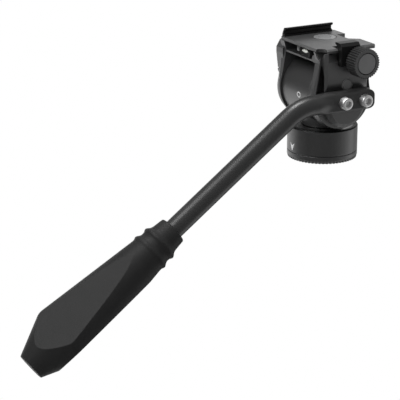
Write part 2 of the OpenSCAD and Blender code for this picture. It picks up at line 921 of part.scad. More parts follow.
// The two screws of the handle mount lie behind the flattened end of the bar
module mount_screw_places(x0, x1, r) {
  for (s = [-1, 1])
    rod_x(x0, x1, r, s * mount_screw_at, axis_h);
}

module handle_mount() {
  color([0.26, 0.26, 0.27])
    difference() {
      union() {
        // The lobe below, with a bevelled face, and the plate behind the bar
        rod_x(cheek_out, mount_out - lobe_bevel, lobe_r, 0, axis_h - lobe_drop);
        translate([mount_out - lobe_bevel, 0, axis_h - lobe_drop])
          rotate([0, 90, 0])
            cylinder(h = lobe_bevel, r1 = lobe_r, r2 = lobe_face_r);
        translate([cheek_out, -lobe_r, axis_h - lobe_drop])
          cube([mount_out - cheek_out, 2 * lobe_r, block_z - slip - axis_h + lobe_drop]);
      }
      translate([cheek_out - 1, -lobe_r - 1, block_z - slip])
        cube([mount_out, 2 * lobe_r + 2, lobe_r]);
      for (s = [-1, 1])
        rod_x(cheek_out + 1, mount_out + 1, bolt_r, s * bolt_pitch / 2, axis_h);
      mount_screw_places(cheek_out - 1, mount_out + 1, mount_screw_r);
      mount_screw_places(mount_out - mount_head_h, mount_out + 1, mount_head_r);
    }
}

module mount_screws() {
  color([0.30, 0.30, 0.31])
    for (s = [-1, 1])
      translate([mount_out - mount_head_h, s * mount_screw_at, axis_h])
        rotate([0, 90, 0])
          socket_screw(mount_screw_r, mount_out - mount_head_h - cheek_out + mount_bite, mount_head_r,
                       mount_head_h, 2);
}

// Section of the flattened end of the bar
module arm_section() {
  w = arm_t - 2 * arm_edge;
  h = arm_h - 2 * arm_edge;
  for (sx = [-1, 1], sz = [-1, 1])
    translate([bar_x + sx * w / 2, axis_h + sz * h / 2])
      circle(r = arm_edge);
  translate([bar_x - arm_t / 2, axis_h - h / 2])
    square([arm_t, h]);
  translate([bar_x - w / 2, axis_h - arm_h / 2])
    square([w, arm_h]);
}

// Side view of the flattened end, with rounded corners in front
module arm_side() {
  low = axis_h - arm_h / 2;
  for (sz = [-1, 1])
    translate([arm_front - arm_corner, axis_h + sz * (arm_h / 2 - arm_corner)])
      circle(r = arm_corner);
  translate([arm_back - 1, low])
    square([arm_front - arm_corner - arm_back + 1, arm_h]);
  translate([arm_back - 1, low + arm_corner])
    square([arm_front - arm_back + 1, arm_h - 2 * arm_corner]);
}

module pan_bar() {
  color([0.22, 0.22, 0.23])
    difference() {
      union() {
        // The flattened end, rounded in front
        intersection() {
          along_y(arm_back, arm_front)
            arm_section();
          along_x(arm_in - 1, arm_out + 1)
            arm_side();
        }
        // The stretch where flat turns to round, the bend and the straight tube
        hull() {
          along_y(arm_back, arm_back + 0.2)
            arm_section();
          translate([bar_x, bend_y + 0.2, axis_h])
            rotate([90, 0, 0])
              cylinder(h = 0.2, r = tube_r, $fn = 48);
        }
        translate([bar_x, bend_y, axis_h - bend_r])
          rotate([180, -90, 0])
            rotate_extrude(angle = bar_drop)
              translate([bend_r, 0])
                circle(r = tube_r);
        on_bar()
          translate([0, 0, bend_tangent])
            cylinder(h = tube_end - bend_tangent, r = straight_r);
      }
      on_bar()
        translate([0, 0, bend_tangent + 4])
          cylinder(h = tube_end, r = straight_r - tube_wall);
      for (s = [-1, 1])
        rod_x(arm_in - 1, arm_out + 1, bolt_r, s * bolt_pitch / 2, axis_h);
    }
}

module handle_bolts() {
  color([0.80, 0.80, 0.81])
    for (s = [-1, 1])
      translate([arm_out, s * bolt_pitch / 2, axis_h])
        rotate([0, 90, 0])
          socket_screw(bolt_r, arm_out - cheek_out - 1, bolt_head_r, bolt_head_h, bolt_key);
}

// The point where a line from p touches a circle, on the given side
function touch(p, c, r, side) =
  let (to_p = p - c, a = atan2(to_p[1], to_p[0]) + side * acos(r / norm(to_p)))
    c + r * [cos(a), sin(a)];

// Half section of the grip: a collar, two rings, a long flare and a short taper to the end
module grip_section() {
  neck = [grip_neck_r, collar_l];
  end = [grip_end_r, grip_l - 0.6];
  thick = [grip_r - grip_round, shoulder_at];
  polygon([
    [0, 0], [collar_r[0] - 0.6, 0], [collar_r[0], 0.8], [collar_r[1], ring_at[0] - ring_r[0]],
    [collar_r[1] + 0.4, ring_at[1] - ring_r[1] - 2], neck,
    touch(neck, thick, grip_round, 1), touch(end, thick, grip_round, -1),
    end, [grip_end_r - 0.6, grip_l], [0, grip_l]
  ]);
  translate(thick)
    circle(r = grip_round);
  for (i = [0, 1])
    translate([ring_mid[i], ring_at[i]])
      circle(r = ring_r[i]);
}

// Cuts one flat of the grip, leaning out a little towards the big end
module grip_cut() {
  lean = 1.1;
  translate([grip_flat, 0, shoulder_at])
    rotate([0, lean, 0])
      translate([0, -grip_r, collar_l - 2 - shoulder_at])
        cube([grip_r, 2 * grip_r, grip_l]);
}

module grip() {
  color([0.16, 0.16, 0.17])
    on_bar()
      translate([0, 0, grip_from])
        difference() {
          rotate_extrude()
            grip_section();
          for (a = [60, 180, 300])
            rotate(a)
              grip_cut();
          translate([0, 0, -1])
            cylinder(h = tube_end - grip_from + 1, r = straight_r);
        }
}

// Plate clamp, the pieces that slide and turn

// End view of the jaw: the lip over the plate, the tongue in the slot and the tail
module jaw_outline() {
  polygon([
    [lip_jaw_x + 0.6, tongue_z], [lip_jaw_x + 0.6, top_z + 0.6], [lip_jaw_x + 2.2, top_z + 1.3],
    [lip_jaw_x + 2.2, top_z + jaw_h - 2.6], [lip_jaw_x, top_z + jaw_h - 1.2],
    [lip_jaw_x, top_z + jaw_h], [tail_out - 2.4, top_z + jaw_h], [tail_out, top_z + jaw_h - 2.4],
    [tail_out, tongue_z]
  ]);
}

module movable_jaw() {
  color([0.15, 0.15, 0.16])
    difference() {
      union() {
        along_y(-jaw_y, jaw_y)
          jaw_outline();
        translate([tail_x, -jaw_y, tail_z])
          cube([tail_t, jaw_y + tail_front, tongue_z - 2 * slide - tail_z]);
        translate([tail_x, -jaw_y, tail_z])
          cube([tail_t, 2 * jaw_y, tongue_z - tail_z + 1]);
      }
      rod_x(tail_x - 1, tail_out + 1, screw_r + run, clamp_y, clamp_z);
    }
}

module clamp_screw() {
  color([0.70, 0.70, 0.72])
    rod_x(screw_from, knob_out - 3, screw_r, clamp_y, clamp_z);
}

module clamp_knob() {
  color([0.24, 0.24, 0.25])
    translate([knob_x, clamp_y, clamp_z])
      rotate([0, 90, 0])
        difference() {
          ridged_knob(clamp_knob_d / 2, clamp_knob_t, clamp_ridges, 0.7);
          translate([0, 0, -1])
            cylinder(h = clamp_knob_t - 2, r = screw_r);
          translate([0, 0, clamp_knob_t - 1])
            cylinder(h = 2, r = clamp_knob_d * 0.39);
        }
}

module knob_cap() {
  color([0.36, 0.36, 0.37])
    rod_x(knob_out - 1, knob_out - 0.2, clamp_knob_d * 0.36, clamp_y, clamp_z);
}

module tilt_lock_washer() {
  color([0.55, 0.56, 0.58])
    ring_x(tilt_knob_x, -cheek_out, shaft_r + 3, tilt_stud_r + run);
}

module tilt_lock_stud() {
  color([0.70, 0.70, 0.72])
    ring_x(tilt_knob_x - tilt_knob_t + 3, -cheek_out + tilt_stud_l, tilt_stud_r - run);
}

module tilt_lock_knob() {
  color([0.12, 0.12, 0.12])
    translate([tilt_knob_x - slip, 0, axis_h])
      rotate([0, -90, 0])
        difference() {
          ridged_knob(tilt_knob_d / 2, tilt_knob_t - slip, 8, 2.4);
          translate([0, 0, -1])
            cylinder(h = tilt_knob_t - 2 - slip, r = tilt_stud_r - run);
        }
}

base_ring();
thread_insert();
pan_spindle();
spindle_screws();
pan_stator();
spring_washer();
pan_nut();
pan_drum();
pan_rotor();
thrust_washer();
tilt_drum();
drum_cover();
cover_screws();
neck_screws();
tilt_bushes();
tilt_seals();
tilt_stators();
pan_lock_knob();
pan_lock_screw();
pan_brake_shoe();
tilt_cradle();
tilt_shaft();
tilt_rotors();
platform_cap();
hub_cap();
fixed_rail();
rail_screws();
level_holder();
level_vial();
handle_mount();
mount_screws();
pan_bar();
handle_bolts();
grip();
movable_jaw();
clamp_screw();
clamp_knob();
knob_cap();
tilt_lock_knob();
tilt_lock_stud();
tilt_lock_washer();
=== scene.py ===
import json
import math

import bmesh
import bpy
from mathutils import Matrix, Vector


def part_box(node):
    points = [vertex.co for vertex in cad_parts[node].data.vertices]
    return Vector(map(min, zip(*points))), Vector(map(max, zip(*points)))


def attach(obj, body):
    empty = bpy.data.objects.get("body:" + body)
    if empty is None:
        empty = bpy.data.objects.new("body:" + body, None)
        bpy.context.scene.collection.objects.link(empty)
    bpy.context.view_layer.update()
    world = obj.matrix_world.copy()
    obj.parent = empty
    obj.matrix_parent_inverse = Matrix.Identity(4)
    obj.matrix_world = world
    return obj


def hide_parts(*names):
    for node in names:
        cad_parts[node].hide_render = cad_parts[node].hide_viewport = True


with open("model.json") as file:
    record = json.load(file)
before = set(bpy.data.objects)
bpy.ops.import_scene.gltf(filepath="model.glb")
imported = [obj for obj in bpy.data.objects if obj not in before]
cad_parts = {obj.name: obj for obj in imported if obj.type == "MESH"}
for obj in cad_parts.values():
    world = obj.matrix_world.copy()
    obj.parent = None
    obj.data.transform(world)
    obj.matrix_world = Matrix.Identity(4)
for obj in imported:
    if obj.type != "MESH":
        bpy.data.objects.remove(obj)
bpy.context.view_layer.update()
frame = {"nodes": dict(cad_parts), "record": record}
scene = bpy.context.scene
MM = 0.001
AXIS_Z = 56 * MM                # height of the tilt axis
BAR_DROP = math.radians(36.2)   # angle of the pan bar below level
MASK_RISE = 9000.0              # how steeply a mask goes from 0 to 1, per metre
SAME_POINT = 1e-7               # points nearer than this are one point


# Finishes

class Value:
    """A number in a node tree. Python's operators on it add Math nodes."""

    def __init__(self, finish, socket):
        self.finish = finish
        self.socket = socket

    def math(self, operation, first, second=0.0, clamp=False):
        settings = {"operation": operation, "use_clamp": clamp}
        return self.finish.add("ShaderNodeMath", settings, {0: first, 1: second})

    def __add__(self, other):
        return self.math("ADD", self, other)

    def __radd__(self, other):
        return self.math("ADD", other, self)

    def __sub__(self, other):
        return self.math("SUBTRACT", self, other)

    def __rsub__(self, other):
        return self.math("SUBTRACT", other, self)

    def __mul__(self, other):
        return self.math("MULTIPLY", self, other)

    def __rmul__(self, other):
        return self.math("MULTIPLY", other, self)

    def clamped(self):
        return self.math("ADD", self, 0.0, clamp=True)


class Nodes:
    """A node tree being wired. add() makes any node."""

    def __init__(self, tree):
        self.tree = tree

    def add(self, kind, settings, sockets, out=0):
        node = self.tree.nodes.new(kind)
        for name, value in settings.items():
            if name == "stops":
                while len(node.color_ramp.elements) < len(value):
                    node.color_ramp.elements.new(1.0)
                for element, (place, grey) in zip(node.color_ramp.elements, value):
                    element.position = place
                    element.color = (grey, grey, grey, 1)
            else:
                setattr(node, name, value)
        for name, value in sockets.items():
            self.feed(node.inputs[name], value)
        return Value(self, node.outputs[out])

    def feed(self, socket, value):
        if isinstance(value, Value):
            self.tree.links.new(value.socket, socket)
        else:
            socket.default_value = value

    def background_rays(self):
        """1 for the rays that see the background: from the camera, a reflection or through glass."""
        rays = [self.add("ShaderNodeLightPath", {}, {}, "Is %s Ray" % kind)
                for kind in ("Camera", "Glossy", "Transmission")]
        return (rays[0] + rays[1] + rays[2]).clamped()


class Finish(Nodes):
    """A material being made, with names for the common nodes."""

    def __init__(self, name, **constants):
        self.material = bpy.data.materials.new(name)
        self.material.use_nodes = True
        super().__init__(self.material.node_tree)
        self.shader = self.tree.nodes["Principled BSDF"]
        self.set(**constants)

    def set(self, **sockets):
        for socket, value in sockets.items():
            self.feed(self.shader.inputs[socket.replace("_", " ")], value)

    def place(self, stretch=(1, 1, 1), turn=(0, 0, 0)):
        """Object coordinates, turned and then stretched."""
        here = self.add("ShaderNodeTexCoord", {}, {}, "Object")
        turned = self.add("ShaderNodeMapping", {}, {"Vector": here, "Rotation": turn})
        return self.add("ShaderNodeMapping", {}, {"Vector": turned, "Scale": stretch})

    def noise(self, scale, detail=3.0, stretch=(1, 1, 1), turn=(0, 0, 0)):
        sockets = {"Vector": self.place(stretch, turn), "Scale": scale, "Detail": detail}
        return self.add("ShaderNodeTexNoise", {}, sockets, "Fac")

    def ramp(self, value, stops):
        return self.add("ShaderNodeValToRGB", {"stops": stops}, {"Fac": value})

    def mix(self, factor, low, high):
        """Mixes two colours."""
        return self.add("ShaderNodeMix", {"data_type": "RGBA"}, {0: factor, 6: low, 7: high}, 2)

    def soft_edges(self, radius):
        """The normal with its edges rounded, and how near an edge each point is, from 0 to 1."""
        rounded = self.add("ShaderNodeBevel", {"samples": 6}, {"Radius": radius})
        flat = self.add("ShaderNodeNewGeometry", {}, {}, "Normal")
        both = {0: rounded, 1: flat}
        along = self.add("ShaderNodeVectorMath", {"operation": "DOT_PRODUCT"}, both, "Value")
        return rounded, ((1 - along) * 4).clamped()

    def bump(self, height, depth, normal):
        sockets = {"Strength": 1.0, "Height": height, "Distance": depth, "Normal": normal}
        return self.add("ShaderNodeBump", {}, sockets)


def grey(level, warm=0.0):
    return (level * (1 + warm), level, level * (1 - warm), 1)


def painted(name, level, edge_level, roughness, grain, depth, edge=0.35 * MM, shaded_rim=None):
    """Dark satin paint on a casting: a fine grain, cloudy gloss and rubbed edges.
    On a rim between two heights it may be made dark metal and duller, which dims its glint there:
    painted shade."""
    f = Finish(name, IOR=2.1)
    normal, near_edge = f.soft_edges(edge)
    fine = f.noise(grain, 2.0)
    cloud = f.noise(70.0, 4.0)
    rub = f.ramp(f.noise(420.0, 3.0), [(0.42, 0.25), (0.62, 1.0)])
    body = f.mix(cloud, grey(level * 0.86, -0.01), grey(level * 1.14, -0.01))
    f.set(Base_Color=f.mix(near_edge * rub, body, grey(edge_level)))
    gloss = roughness + (cloud - 0.5) * 0.12 + (fine - 0.5) * 0.10 + near_edge * 0.25
    # Painted shade: between the two heights the paint turns into dark metal and is rougher, so the
    # rim's glint is dimmed.
    if shaded_rim:
        low, high = shaded_rim
        height = f.add("ShaderNodeSeparateXYZ", {}, {0: f.place()}, "Z")
        rim = ((height - low) * MASK_RISE).clamped() * ((high - height) * MASK_RISE).clamped()
        gloss = gloss + rim * 0.15
        f.set(Metallic=rim)
    f.set(Roughness=gloss)
    f.set(Normal=f.bump(fine, depth, normal))
    return f.material


def anodised(name, level, roughness, ior, stretch, turn=(0, 0, 0), edge=0.25 * MM):
    """Black anodised metal with faint drawing lines along one direction."""
    f = Finish(name, IOR=ior)
    normal, near_edge = f.soft_edges(edge)
    lines = f.noise(300.0, 3.0, stretch, turn)
    cloud = f.noise(55.0, 3.0)
    body = f.mix(lines * 0.6 + cloud * 0.4, grey(level * 0.8), grey(level * 1.25))
    f.set(Base_Color=f.mix(near_edge * 0.7, body, grey(level * 1.7)))
    f.set(Roughness=roughness + (lines - 0.5) * 0.06 + (cloud - 0.5) * 0.06)
    f.set(Normal=f.bump(lines, 0.002 * MM, normal))
    return f.material


def moulded(name, level, roughness, grain=1500.0, edge=0.3 * MM, depth=0.03 * MM, ior=1.45,
            face=None):
    """Moulded plastic or rubber with a spark-eroded grain. A face beyond a given x may be painted
    paler, as painted light on it.
    """
    f = Finish(name, IOR=ior)
    normal, near_edge = f.soft_edges(edge)
    cells = f.add("ShaderNodeTexVoronoi", {}, {"Vector": f.place(), "Scale": grain}, "Distance")
    cloud = f.noise(90.0, 3.0)
    body = f.mix(cloud, grey(level * 0.88), grey(level * 1.12))
    # Painted light: beyond the given x the face takes a paler grey, standing in for the light that
    # falls on it.
    if face:
        from_x, painted_light_level = face
        out = f.add("ShaderNodeSeparateXYZ", {}, {0: f.place()}, "X")
        body = f.mix(((out - from_x) * MASK_RISE).clamped(), body, grey(painted_light_level))
    f.set(Base_Color=f.mix(near_edge * 0.5, body, grey(level * 2.0)))
    f.set(Roughness=roughness + (cloud - 0.5) * 0.14 + (cells - 0.4) * 0.06)
    f.set(Normal=f.bump(cells, depth, normal))
    return f.material


def machined(name, colour, dark, roughness, stretch, grain=700.0, edge=0.15 * MM):
    """Bare metal with the fine lines of the tool that cut it."""
    f = Finish(name, Metallic=1.0)
    normal, near_edge = f.soft_edges(edge)
    lines = f.noise(grain, 3.0, stretch)
    stain = f.ramp(f.noise(160.0, 4.0), [(0.40, 0.0), (0.75, 1.0)])
    body = f.mix(stain * 0.35 + lines * 0.25, colour, dark)
    f.set(Base_Color=f.mix(near_edge * 0.4, body, colour))
    f.set(Roughness=roughness + (lines - 0.5) * 0.14 + stain * 0.06)
    f.set(Normal=f.bump(lines, 0.012 * MM, normal))
    return f.material


def printed_white():
    f = Finish("printed_white", IOR=1.45)
    cloud = f.noise(600.0, 3.0)
    f.set(Base_Color=f.mix(cloud, grey(0.74), grey(0.86)))
    f.set(Roughness=0.5 + (cloud - 0.5) * 0.1)
    return f.material


def vial_painted_glint():
    """Spirit in a glass tube: near white all over, which stands in for its glint (a painted highlight),
    with a faint swirl and a clear coat.
    """
    f = Finish("vial", IOR=1.45, Coat_Roughness=0.04)
    swirl = f.noise(300.0, 2.0)
    # The near-white body colour is a painted highlight.
    f.set(Base_Color=f.mix(swirl, (0.80, 0.82, 0.75, 1), (0.91, 0.92, 0.87, 1)))
    f.set(Roughness=0.10 + swirl * 0.06, Coat_Weight=0.8 + swirl * 0.2)
    return f.material


# Where the pan drum's rim is made dark metal to dim its glint: painted shade.
SHADED_RIM_HEIGHTS = (26.4 * MM, 27.7 * MM)                                # heights, on the pan drum
# The clamp knob's end face is painted paler than its ridges: painted light.
CLAMP_FACE_PAINTED_LIGHT = (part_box("clamp_knob")[1].x - 0.25 * MM, 0.095)      # where it begins, and its level
EVEN = (1, 1, 1)
LINES_ALONG_Y = (1, 0.03, 1)
DOWN_THE_BAR = (-BAR_DROP, 0, 0)
TURNED_ON_X = (0.05, 1, 1)
TURNED_ON_Z = (1, 1, 0.05)
BRONZE, BRONZE_DARK = (0.58, 0.38, 0.16, 1), (0.38, 0.23, 0.09, 1)
BRASS, BRASS_DARK = (0.66, 0.52, 0.24, 1), (0.46, 0.34, 0.14, 1)

FINISHES = {
    "dark_paint": painted("dark_paint", level=0.018, edge_level=0.026, roughness=0.34, grain=2600.0,
                          depth=0.02 * MM, edge=0.9 * MM, shaded_rim=SHADED_RIM_HEIGHTS),
    "cast_paint": painted("cast_paint", level=0.034, edge_level=0.050, roughness=0.38, grain=1900.0,
                          depth=0.03 * MM),
    "rail_black": anodised("rail_black", level=0.007, roughness=0.40, ior=1.4, stretch=LINES_ALONG_Y),
    "tube_grey": anodised("tube_grey", level=0.033, roughness=0.33, ior=1.52, stretch=LINES_ALONG_Y,
                          turn=DOWN_THE_BAR, edge=0.05 * MM),
    "grip_rubber": moulded("grip_rubber", level=0.023, roughness=0.52, grain=1300.0, edge=0.6 * MM,
                           depth=0.04 * MM, ior=1.27),
    "knob_plastic": moulded("knob_plastic", level=0.016, roughness=0.50),
    "clamp_plastic": moulded("clamp_plastic", level=0.022, roughness=0.54, face=CLAMP_FACE_PAINTED_LIGHT),
    "cap_grey": moulded("cap_grey", level=0.19, roughness=0.52),
    "light_cap": painted("light_cap", level=0.19, edge_level=0.30, roughness=0.42, grain=2400.0,
                         depth=0.015 * MM),
    "bright_steel": machined("bright_steel", grey(0.90), grey(0.66), roughness=0.42, stretch=EVEN),
    "shaft_steel": machined("shaft_steel", grey(0.62), grey(0.40), roughness=0.30, stretch=TURNED_ON_X),
    "black_steel": machined("black_steel", grey(0.09), grey(0.05), roughness=0.40, stretch=EVEN),
    "bronze": machined("bronze", BRONZE, BRONZE_DARK, roughness=0.34, stretch=TURNED_ON_Z),
    "brass_insert": machined("brass_insert", BRASS, BRASS_DARK, roughness=0.30, stretch=TURNED_ON_Z),
    "seal_rubber": moulded("seal_rubber", level=0.010, roughness=0.70),
    "vial": vial_painted_glint(),
}
WHITE = printed_white()

for part in frame["record"]["subparts"]:
    frame["nodes"][part["node"]].material_slots[0].material = FINISHES[part["material_slot"]]


# Tools for the pieces

def in_scene(name, bm):
    """Turns a bmesh into an object of the scene."""
    mesh = bpy.data.meshes.new(name)
    bm.to_mesh(mesh)
    bm.free()
    made = bpy.data.objects.new(name, mesh)
    scene.collection.objects.link(made)
    return made


def piece(name, bm, material, body, stands_for=None, crease=32):
    """Closes a bmesh into a named piece that rides on a body."""
    bmesh.ops.remove_doubles(bm, verts=bm.verts, dist=SAME_POINT)
    bmesh.ops.recalc_face_normals(bm, faces=bm.faces)
    made = in_scene(name, bm)
    made.data.shade_smooth()
    made.data.set_sharp_from_angle(angle=math.radians(crease))
    made.data.materials.append(material)
    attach(made, body)
    if stands_for:
        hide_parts(stands_for)
    return made


def round_ring(radius):
    return lambda angle: radius


def hex_ring(across):
    """A hexagon by the distance across its flats."""
    return lambda angle: across / 2 / math.cos((angle + math.pi / 6) % (math.pi / 3) - math.pi / 6)


def rounded_box(half_x, half_y, corner):
    """A rectangle with rounded corners."""
    def outline(angle):
        x, y = abs(math.cos(angle)), abs(math.sin(angle))
        in_x, in_y = half_x - corner, half_y - corner
        far = min(half_x / max(x, 1e-9), half_y / max(y, 1e-9))
        if far * x > in_x and far * y > in_y:
            along = x * in_x + y * in_y
            far = along + math.sqrt(along ** 2 - in_x ** 2 - in_y ** 2 + corner ** 2)
        return far
    return outline


def ridged_ring(radius, depth, ridges):
    """Crests and grooves round a ring, with rounded flanks."""
    return lambda angle: radius - depth * (0.5 - 0.5 * math.cos(angle * ridges)) ** 1.5


def swept(stations, segments, closed=False):
    """Grows a ring of edges through stations. A station is the ring's place, as a matrix, and its
    outline. The ends are capped, unless closed says that they meet or stay open."""
    bm = bmesh.new()
    bmesh.ops.create_circle(bm, cap_ends=False, segments=segments, radius=1.0)
    first = edges = bm.edges[:]
    verts = bm.verts[:]
    before = Matrix()
    for number, (place, outline) in enumerate(stations):
        if number > 0:
            grown = bmesh.ops.extrude_edge_only(bm, edges=edges)["geom"]
            edges = [g for g in grown if isinstance(g, bmesh.types.BMEdge)]
            verts = [g for g in grown if isinstance(g, bmesh.types.BMVert)]
        to_ring = before.inverted()
        for v in verts:
            on_ring = to_ring @ v.co
            angle = math.atan2(on_ring.y, on_ring.x)
            radius = outline(angle)
            v.co = place @ Vector((radius * math.cos(angle), radius * math.sin(angle), 0))
        before = place
    if not closed:
        bmesh.ops.edgeloop_fill(bm, edges=first)
        bmesh.ops.edgeloop_fill(bm, edges=edges)
    return bm


def turned(stations, segments, closed=False):
    """The same along +Z, where a station is its height and its outline."""
    placed = [(Matrix.Translation((0, 0, height)), outline) for height, outline in stations]
    return swept(placed, segments, closed)


def set_on(bm, origin, axis):
    """Turns a piece's +Z to an axis and moves it to its place."""
    turn = Vector(axis).to_track_quat("Z", "Y").to_matrix().to_4x4()
    bmesh.ops.transform(bm, matrix=Matrix.Translation(origin) @ turn, verts=bm.verts)


def join(bm, other):
    """Adds another bmesh to this one."""
    mesh = bpy.data.meshes.new("joining")
    other.to_mesh(mesh)
    other.free()
    bm.from_mesh(mesh)
    bpy.data.meshes.remove(mesh)


# Handle bolts, with rounded heads and hexagon sockets

BOLT_AT = 9.5 * MM              # before and behind the tilt axis
ARM_OUT = 46 * MM               # outer face of the pan bar's flattened end
BOLT_KEY = 5.0 * MM
# Heights above the arm, in millimetres, and the radii there
SOCKET = (3.2, 5.75)
BOLT_HEAD = [(6.0, 3.15), (6.0, 3.75), (5.88, 4.25), (5.55, 4.65), (5.1, 4.9), (4.8, 5.0),
             (0.3, 5.0), (0.0, 4.8)]
BOLT_SHANK = [(0.0, 3.0), (-15.2, 3.0), (-16.0, 2.5)]


def handle_bolt():
    """Goes from the bottom of the socket over the head to the tip of the shank."""
    stations = [(z * MM, hex_ring(BOLT_KEY)) for z in SOCKET]
    stations += [(z * MM, round_ring(r * MM)) for z, r in BOLT_HEAD + BOLT_SHANK]
    return turned(stations, segments=192)


bolts = bmesh.new()
for side in (-1, 1):
    one = handle_bolt()
    set_on(one, (ARM_OUT, side * BOLT_AT, AXIS_Z), (1, 0, 0))
    join(bolts, one)
piece("socket_bolts", bolts, FINISHES["bright_steel"], "tilt", "handle_bolts")


# Knobs, with rounded ends to their ridges

SEAT_BEVEL = 0.15 * MM
SEAT_GROOVE = 0.9 * MM          # width of the groove round a cap's seat
DISH_DEPTH = 0.5 * MM           # of the face of a knob without a cap
# Radii by the knob's own
BACK, DISH_RIM, DISH_WALL, DISH_FLOOR = 0.55, 0.72, 0.66, 0.4


def knob(radius, length, ridges, depth, edge, recess=None):
    """A ridged knob along +Z. A recess is the radius and depth of the seat for a cap."""
    grip = ridged_ring(radius, depth, ridges)
    flat = round_ring(radius - depth - edge)
    steps = [
        (0.0, round_ring(radius * BACK)), (0.0, flat),
        (edge * 0.5, ridged_ring(radius - edge * 0.3, depth * 0.8, ridges)), (edge, grip),
        (length - edge, grip),
        (length - edge * 0.35, ridged_ring(radius - edge * 0.3, depth * 0.75, ridges)),
        (length, flat),
    ]
    if recess:
        seat, deep = recess
        wall, floor = round_ring(seat), round_ring(seat - SEAT_GROOVE)
        steps += [(length, round_ring(seat + SEAT_BEVEL)), (length - SEAT_BEVEL, wall),
                  (length - 2.5 * deep, wall), (length - 2.5 * deep, floor), (length - deep, floor)]
    else:
        steps += [(length, round_ring(radius * DISH_RIM)),
                  (length - DISH_DEPTH, round_ring(radius * DISH_WALL)),
                  (length - DISH_DEPTH, round_ring(radius * DISH_FLOOR))]
    return turned(steps, segments=ridges * 8)


def middle(low, high):
    return (low + high) / 2


clamp_low, clamp_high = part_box("clamp_knob")
clamp_mid = middle(clamp_low, clamp_high)
clamp = knob(radius=12.1 * MM, length=13 * MM, ridges=36, depth=1.0 * MM, edge=0.5 * MM,
             recess=(8.81 * MM, 1.0 * MM))
set_on(clamp, (clamp_low.x, clamp_mid.y, clamp_mid.z), (1, 0, 0))
piece("ridged_clamp_knob", clamp, FINISHES["clamp_plastic"], "clamp", "clamp_knob")

tilt_low, tilt_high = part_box("tilt_lock_knob")
tilt_knob = knob(radius=13 * MM, length=tilt_high.x - tilt_low.x, ridges=8, depth=2.2 * MM,
                 edge=1.6 * MM)
set_on(tilt_knob, (tilt_high.x, 0, AXIS_Z), (-1, 0, 0))
piece("lobed_tilt_knob", tilt_knob, FINISHES["knob_plastic"], "tilt_lock",
      "tilt_lock_knob")

PAN_LOCK_TO = math.radians(147)     # direction from the pan axis
PAN_LOCK_OUT = Vector((math.cos(PAN_LOCK_TO), math.sin(PAN_LOCK_TO), 0))
PAN_LOCK_FROM = 30 * MM             # distance from it to the back of the knob
pan_mid = middle(*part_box("pan_lock_knob"))
pan_knob = knob(radius=8.5 * MM, length=14 * MM, ridges=18, depth=0.8 * MM, edge=0.9 * MM)
set_on(pan_knob, PAN_LOCK_OUT * PAN_LOCK_FROM + Vector((0, 0, pan_mid.z)), PAN_LOCK_OUT)
piece("ridged_pan_knob", pan_knob, FINISHES["knob_plastic"], "pan_lock",
      "pan_lock_knob")


# The cap on the right side block, with a groove round its face

hub_low, hub_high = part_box("hub_cap")
hub_mid = middle(hub_low, hub_high)
HUB_R, HUB_L = (hub_high.y - hub_low.y) / 2, hub_high.x - hub_low.x
HUB_BEVEL = 0.2 * MM
# How far below the face and in from the side, in millimetres
HUB_FACE = [(0.05, 0.0), (0.0, 0.05), (0.0, 0.15), (0.9, 0.15), (0.9, 0.75), (0.1, 0.75), (0.0, 0.9)]
stations = [(0.0, round_ring(HUB_R - HUB_BEVEL)), (HUB_BEVEL, round_ring(HUB_R))]
stations += [(HUB_L - below * MM, round_ring(HUB_R - inward * MM)) for below, inward in HUB_FACE]
hub = turned(stations, segments=96)
set_on(hub, (hub_low.x, hub_mid.y, hub_mid.z), (1, 0, 0))
piece("grooved_hub_cap", hub, FINISHES["cap_grey"], "tilt", "hub_cap")


# The pan bar: a flattened end with two bolt holes, then a round tube with a bend

BAR_X = 41 * MM
BAR_REACH = 47.4 * MM           # from the tilt axis back to the corner of the bend
BEND_R = 40 * MM
BEND_TANGENT = BEND_R * math.tan(BAR_DROP / 2)
BEND_Y = BEND_TANGENT - BAR_REACH
TUBE_R = 8 * MM
TUBE_WALL = 1.6 * MM
TUBE_CHAMFER = 0.5 * MM
TUBE_END = 272.6 * MM           # from the corner of the bend
BORE_END = BEND_TANGENT + 4 * MM
ARM_HALF = (5 * MM, 8.3 * MM)   # half the flattened end's thickness and height
ARM_EDGE = 2.6 * MM
ARM_CORNER = 6.3 * MM
ARM_FRONT = 19.9 * MM
ARM_BACK = -18 * MM
TIP_L, TIP_THINNER = 1 * MM, 0.6 * MM   # the flattened end is thinner in its last millimetre
BOLT_HOLE_R = 3.05 * MM
DRILLED_FROM, DRILLED_TO = 34 * MM, 48 * MM
END_STEPS, EASE_STEPS, BEND_STEPS = 12, 10, 24
QUARTER = math.pi / 2


def bar_frame(y, z, lean=0.0):
    """A place on the bar. +Z runs down the bar."""
    return Matrix.Translation((BAR_X, y, z)) @ Matrix.Rotation(QUARTER + lean, 4, "X")


def arm_end(angle):
    """A station on the rounded front of the flattened end, from its tip at 90 degrees."""
    y = ARM_FRONT - ARM_CORNER + ARM_CORNER * math.sin(angle)
    half_z = ARM_HALF[1] - ARM_CORNER + ARM_CORNER * math.cos(angle)
    near_tip = max(0.0, 1 - (ARM_FRONT - y) / TIP_L)
    half_x = ARM_HALF[0] - (1 - math.sqrt(1 - near_tip ** 2)) * TIP_THINNER
    section = rounded_box(half_x, ARM_HALF[1], ARM_EDGE)
    return bar_frame(y, AXIS_Z), lambda at: min(section(at), half_z / max(abs(math.sin(at)), 1e-9))


def flat_to_round(share):
    """A station between the flattened end and the tube."""
    flat, tube = rounded_box(*ARM_HALF, ARM_EDGE), round_ring(TUBE_R)
    ease = share * share * (3 - 2 * share)
    y = ARM_BACK + (BEND_Y - ARM_BACK) * share
    return bar_frame(y, AXIS_Z), lambda angle: flat(angle) * (1 - ease) + tube(angle) * ease


